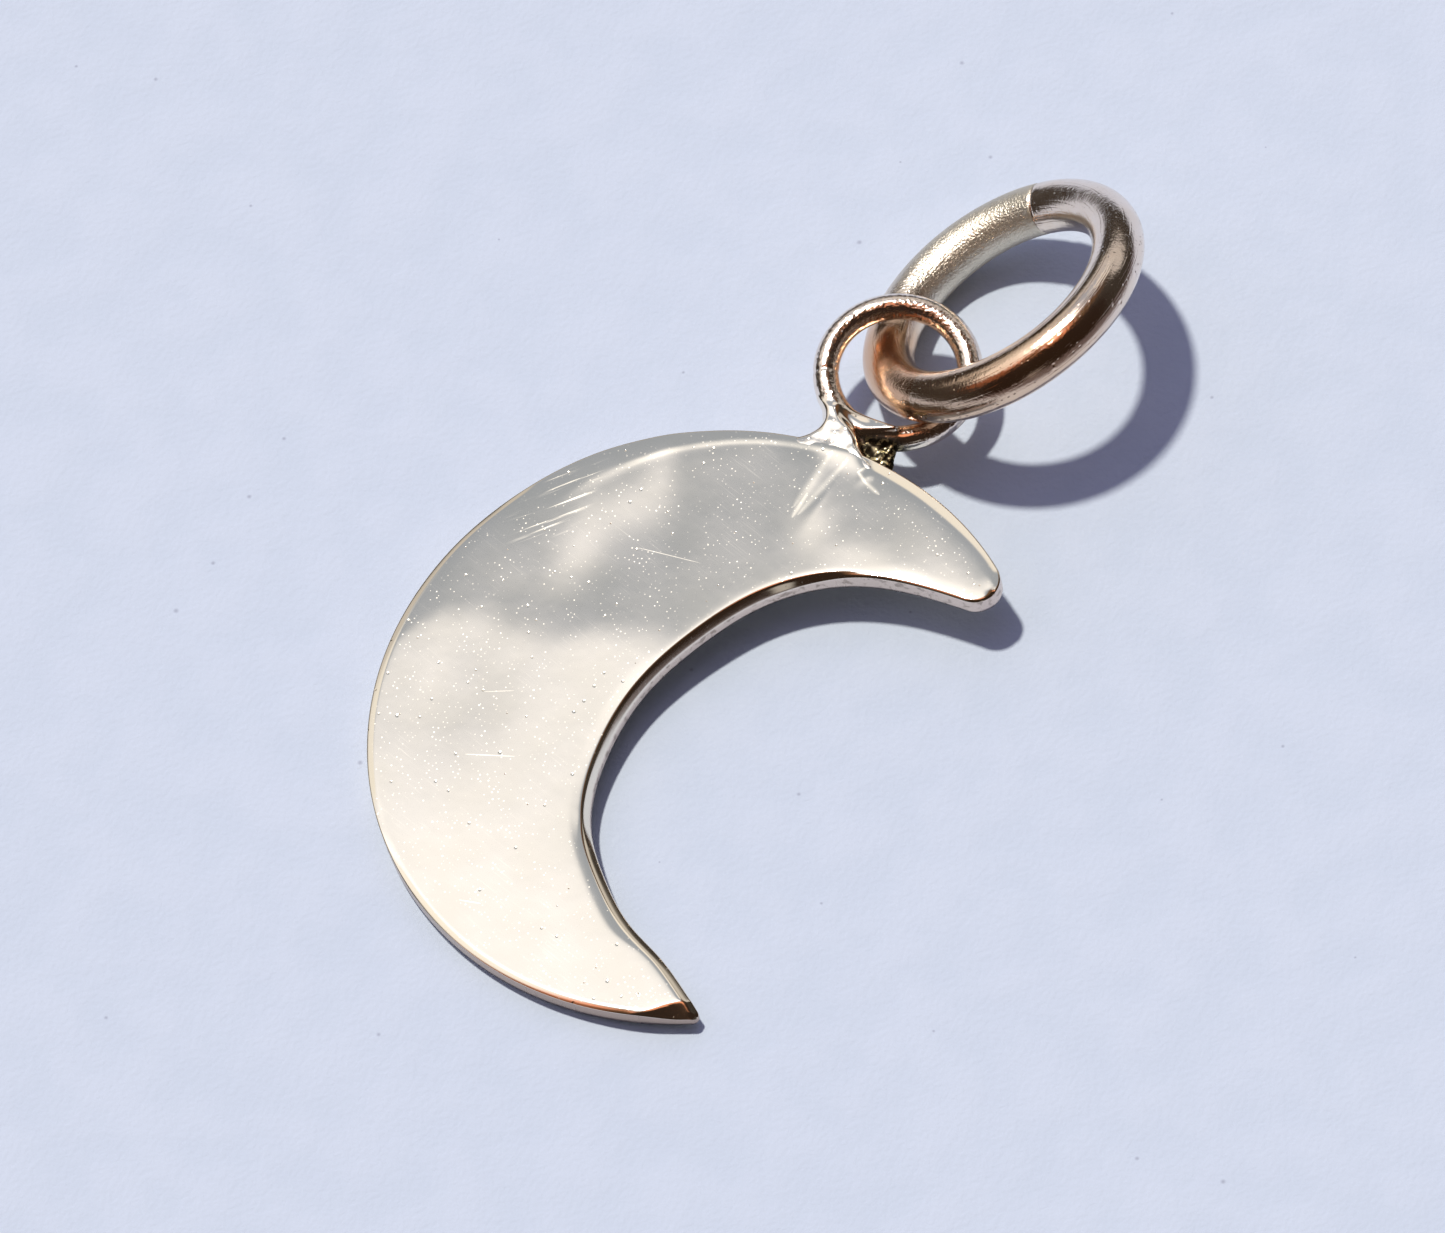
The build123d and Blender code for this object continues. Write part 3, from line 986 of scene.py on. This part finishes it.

# %% [markdown]
# The solder was left as it flowed, bright and dimpled.  Its pocket is painted nearly black with
# pale specks, a painted shade for the shade that lies deep in it.  The loop's wire was handled
# more and is duller and redder, so one material blends from one to the other along the neck.

# %% Solder and loop
solder_gold, tree, shader, place = new_finish("gold_solder_and_wire", face_middle, face_axes)
across, up, height = split(tree, place)
of_wire = ramp(tree, up, 7.1, 7.35)
in_pocket = times(
    tree, ramp(tree, across, -0.2, 0.15), ramp(tree, height, -0.08, -0.22), ramp(tree, up, 7.1, 6.9)
)
cloud = place_group(tree, clouds, Place=place, Size=0.3)
grain = place_group(tree, clouds, Place=place, Size=0.08)
dents = place_group(tree, pits, Place=place, Spacing=0.14, Size=0.03, Share=0.4)
bump(tree, shader, [(cloud, 0.002), (times(tree, grain, of_wire), 0.005), (dents, -0.003)])
metal_tint = mix_colour(tree, of_wire, (0.94, 0.86, 0.74), (0.91, 0.8, 0.7))
# The pocket is painted nearly black, with pale specks where the grain is high: painted shade for the shade
# deep in the pocket.
pocket_painted_shade = mix_colour(tree, ramp(tree, grain, 0.55, 0.95), (0.035, 0.028, 0.018), (0.55, 0.47, 0.27))
feed(tree, mix_colour(tree, in_pocket, metal_tint, pocket_painted_shade), shader.inputs["Base Color"])
dull(tree, shader, 0.09, [(of_wire, 0.05), (in_pocket, 0.25)])
loop.data.materials.append(solder_gold)

# %% [markdown]
# On a wire the marks run along it, so they need a place that is counted the way the wire is
# bent: how far along the ring, and how far around the wire's own thickness.  One side of the
# ring, past its joint, was brushed satin.  On its side towards the loop, and most where it runs
# through the loop, the wire is painted warmer and darker: painted reflection and shade from the gold close
# by.


# %% Place along a bent wire
def place_on_wire(tree, place, radius, thickness):
    """Millimetres along the ring and around its wire, and both angles."""
    x, y, z = split(tree, place)
    angle = reckon(tree, "ARCTAN2", y, x)
    reach = reckon(tree, "SQRT", reckon(tree, "ADD", times(tree, x, x), times(tree, y, y)))
    around = reckon(tree, "ARCTAN2", z, reckon(tree, "SUBTRACT", reach, radius))
    both = tree.nodes.new("ShaderNodeCombineXYZ")
    feed(tree, times(tree, angle, radius), both.inputs["X"])
    feed(tree, times(tree, around, thickness), both.inputs["Y"])
    return both.outputs[0], angle, around


# %% Jump ring's wire
ring_gold, tree, shader, place = new_finish("gold_wire_satin", ring_middle, ring_axes)
on_wire, angle, around = place_on_wire(tree, place, RING_RADIUS, RING_WIRE)
past_joint = ramp(tree, angle, radians(RING_JOINT - 0.2), radians(RING_JOINT + 0.2))
satin = times(tree, past_joint, ramp(tree, angle, radians(125), radians(70)))
cloud = place_group(tree, clouds, Place=place, Size=0.7)
grain = place_group(tree, clouds, Place=place, Size=0.05)
drawn = place_group(tree, hairlines, Place=on_wire, Spacing=0.07, Length=1.6, Share=0.5)
dents = place_group(tree, pits, Place=on_wire, Spacing=0.16, Size=0.035, Share=0.45)
nicked = ramp(tree, reckon(tree, "ABSOLUTE", reckon(tree, "ADD", around, 0.15)), 0.35, 0.15)
nicks = place_group(tree, pits, Place=on_wire, Spacing=0.13, Size=0.06, Share=0.5)
bump(tree, shader, [
    (cloud, 0.004), (times(tree, grain, reckon(tree, "ADD", satin, 0.2)), 0.006),
    (drawn, -0.0022), (dents, -0.003), (times(tree, nicks, nicked), -0.012),
])
# Where the ring runs through the loop its colour is painted orange-brown: painted reflection and shade from
# the loop's gold.
from_thread = reckon(tree, "ABSOLUTE", reckon(tree, "SUBTRACT", angle, radians(152)))
thread_painted_warmth = ramp(tree, from_thread, radians(50), radians(18))
bright_gold = mix_colour(tree, cloud, (0.9, 0.79, 0.7), (0.87, 0.74, 0.62))
# The side of the ring towards the loop is painted warmer: painted reflection of the gold close by.
frontward = reckon_vector(tree, "DOT_PRODUCT", place, tuple(level_way(190)))
loop_side_painted_warmth = mix_colour(tree, ramp(tree, frontward, -0.2, 1.9), bright_gold, (0.8, 0.6, 0.44))
satin_gold = mix_colour(tree, satin, loop_side_painted_warmth, (0.72, 0.66, 0.55))
feed(tree, mix_colour(tree, thread_painted_warmth, satin_gold, (0.72, 0.46, 0.29)), shader.inputs["Base Color"])
dull(tree, shader, 0.12, [(cloud, 0.05), (satin, 0.24)])
ring.data.materials.append(ring_gold)

# %% [markdown]
# A plain sheet of pale paper is the floor.  Paper is matt, with a faint mottle and fibres that
# are just large enough to see this close.  A little way off to one side the paper is painted
# dark for mirrored rays only, a painted shade that the metal mirrors there.

# %% Floor
FLOOR = 0.6
floor_mesh = bpy.data.meshes.new("paper_floor")
corners = [(-FLOOR, -FLOOR, 0), (FLOOR, -FLOOR, 0), (FLOOR, FLOOR, 0), (-FLOOR, FLOOR, 0)]
floor_mesh.from_pydata(corners, [], [(0, 1, 2, 3)])
floor = bpy.data.objects.new("paper_floor", floor_mesh)
scene.collection.objects.link(floor)
paper, tree, shader, place = new_finish("pale_paper", np.zeros(3), np.eye(3), metallic=0.0)
shader.inputs["Roughness"].default_value = 0.9
shader.inputs["Specular IOR Level"].default_value = 0.2
mottle = place_group(tree, clouds, Place=place, Size=1.2)
fibre = place_group(tree, clouds, Place=place, Size=0.12)
motes = place_group(tree, pits, Place=place, Spacing=1.6, Size=0.07, Share=0.12)
sheet = mix_colour(tree, mottle, (0.525, 0.58, 0.632), (0.545, 0.597, 0.648))
sheet = mix_colour(tree, times(tree, motes, 0.5), sheet, (0.2, 0.2, 0.25))
# From 6 to 12 mm out towards one side, the paper is painted dark for mirrored rays only: painted shade for
# the metal to mirror.
mirrored_painted_shade = ramp(tree, reckon_vector(tree, "DOT_PRODUCT", place, tuple(level_way(-15))), 6.0, 12.0)
mirrored_painted_shade = times(tree, mirrored_painted_shade, tree.nodes.new("ShaderNodeLightPath").outputs["Is Glossy Ray"])
feed(tree, mix_colour(tree, mirrored_painted_shade, sheet, (0.12, 0.1, 0.1)), shader.inputs["Base Color"])
bump(tree, shader, [(mottle, 0.01), (fibre, 0.004)])
floor_mesh.materials.append(paper)

# %% [markdown]
# One strong light stands high behind the pendant with a wide glow round it.  Metal shows
# nothing but its surroundings, so the room matters as much as the lamp.  It is built of soft
# round patches: a dark side behind the camera, which puts dark lines next to the bright ones
# on every rounded edge, small warm panes for the bevels and the wires, a pale band over the
# horizon, and a grey-blue sky round the glow.  One low pane behind the camera is there for
# the face to mirror when it is seen from behind.


# %% Key light
def way_at(bearing, height):
    """The direction at this bearing and height above the horizon."""
    return level_way(bearing) * cos(radians(height)) + np.array([0, 0, sin(radians(height))])


sun_data = bpy.data.lights.new("key_light", "SUN")
sun_data.energy = 3.2
sun_data.angle = radians(4.0)
sun_data.color = (1.0, 0.97, 0.93)
sun = bpy.data.objects.new("key_light", sun_data)
sun.rotation_euler = Vector(-sun_way).to_track_quat("-Z", "Y").to_euler()
scene.collection.objects.link(sun)

# %% Room
BASE = (0.045, 0.037, 0.031)
NEAR_SIDE = [
    # direction, angles where the patch starts and where it is full, colour
    (way_at(-40, 34), 62, 50, (0.028, 0.017, 0.012)),
    (way_at(-47, 7), 9, 2, (0.45, 0.42, 0.41)),
    (sun_way, 42, 28, (0.14, 0.07, 0.035)),
    (way_at(-60, 82), 13, 6, (1.0, 0.38, 0.2)),
    (way_at(-128, 46), 17, 9, (0.3, 0.11, 0.055)),
    (way_at(-141, 61), 12, 5, (1.0, 0.38, 0.22)),
]
PALE_BAND = (0.6, 0.56, 0.53)
SKY_SIDE = [
    (way_at(138, 58), 21, 15, (0.356, 0.395, 0.479)),
    (way_at(165, 50), 13, 7, (0.9, 0.87, 0.84)),
    (way_at(112, 50), 9, 6, (0.95, 0.9, 0.86)),
    (way_at(200, 53), 19, 11, (1.05, 1.0, 0.96)),
]
GLOW = (1.06, 1.065, 1.15)
scene.world = bpy.data.worlds.new("soft_room")
scene.world.use_nodes = True
tree = scene.world.node_tree
looking = tree.nodes.new("ShaderNodeTexCoord").outputs["Generated"]


def light_patch(behind, way, starts, full, colour, kind="SMOOTHSTEP"):
    """A round patch of light in this direction, in front of what is behind it."""
    toward = reckon_vector(tree, "DOT_PRODUCT", looking, tuple(unit(way)))
    share = ramp(tree, toward, cos(radians(starts)), cos(radians(full)), kind=kind)
    return mix_colour(tree, share, behind, colour)


room = BASE
for patch in NEAR_SIDE:
    room = light_patch(room, *patch)
height = split(tree, looking)[2]
sideways = reckon_vector(tree, "DOT_PRODUCT", looking, tuple(way_at(125, 0)))
band = times(
    tree, ramp(tree, height, 0.36, 0.48), ramp(tree, height, 0.76, 0.66), ramp(tree, sideways, 0.34, 0.5)
)
room = mix_colour(tree, band, room, PALE_BAND)
for patch in SKY_SIDE:
    room = light_patch(room, *patch)
# The face's hollows were worked out for a glow that fades in a straight line
room = light_patch(room, sun_way, GLOW_OUTER, GLOW_INNER, GLOW, kind="LINEAR")

# %% [markdown]
# Paper is matt, so it shows the sum of the room and not its patches.  It gets a plain bluish
# sky instead, brightest on the light's side, which leaves the shadow darkest close to the
# metal.

# %% Sky on the paper
skyward = reckon_vector(tree, "DOT_PRODUCT", looking, tuple(way_at(150, 40)))
fill = mix_colour(tree, ramp(tree, skyward, 0.2, 0.95), (0.08, 0.07, 0.1), (0.524, 0.526, 0.848))
on_matt = tree.nodes.new("ShaderNodeLightPath").outputs["Is Diffuse Ray"]
feed(tree, mix_colour(tree, on_matt, room, fill), tree.nodes["Background"].inputs["Color"])
scene.view_settings.view_transform = "Standard"
print(len(NEAR_SIDE) + len(SKY_SIDE), "patches of light in the room")
